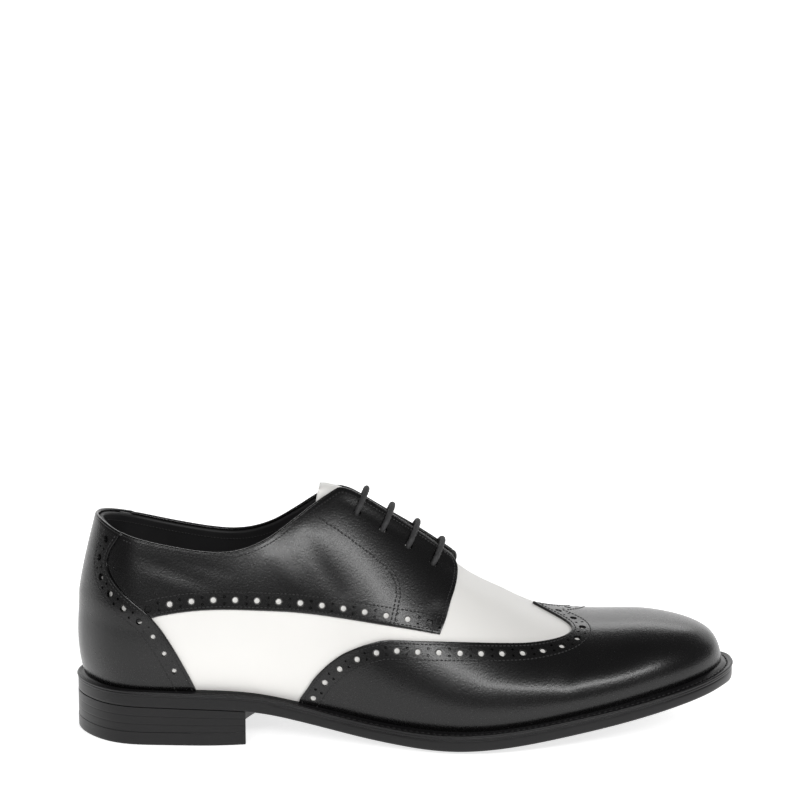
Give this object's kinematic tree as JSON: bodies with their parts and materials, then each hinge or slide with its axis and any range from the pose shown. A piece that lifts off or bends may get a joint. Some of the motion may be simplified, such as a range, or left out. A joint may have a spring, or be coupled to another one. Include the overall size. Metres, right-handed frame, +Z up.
{
  "type": "spectator shoe",
  "caption": "Right men's wingtip derby in black and off-white leather, with brogued overlays, laced facings, a welted leather sole and a low stacked heel.",
  "frame": {"origin": "on the floor, under the middle of the shoe's box", "axes": "+X heel to toe, +Y towards the inner (medial) side, +Z up"},
  "size_m": [0.3054, 0.1017, 0.1126],
  "materials": {
    "upper": "smooth off-white calf, semi-gloss",
    "toe_cap": "polished smooth calf",
    "heel_counter": "polished smooth calf",
    "quarter_lateral": "polished smooth calf",
    "quarter_medial": "polished smooth calf",
    "tongue": "smooth off-white calf, semi-gloss",
    "insole": "matt lining leather",
    "welt": "inked edge, satin",
    "outsole": "inked edge, satin",
    "heel_stack": "inked edge, satin",
    "heel_top_piece": "matt rubber",
    "lace": "waxed cotton, matt"
  },
  "bodies": {
    "root": {"upper": "upper", "toe_cap": "toe_cap", "heel_counter": "heel_counter", "quarter_lateral": "quarter_lateral", "quarter_medial": "quarter_medial", "tongue": "tongue", "insole": "insole", "welt": "welt", "outsole": "outsole", "heel_stack": "heel_stack", "heel_top_piece": "heel_top_piece", "lace": "lace"}
  },
  "joints": []
}
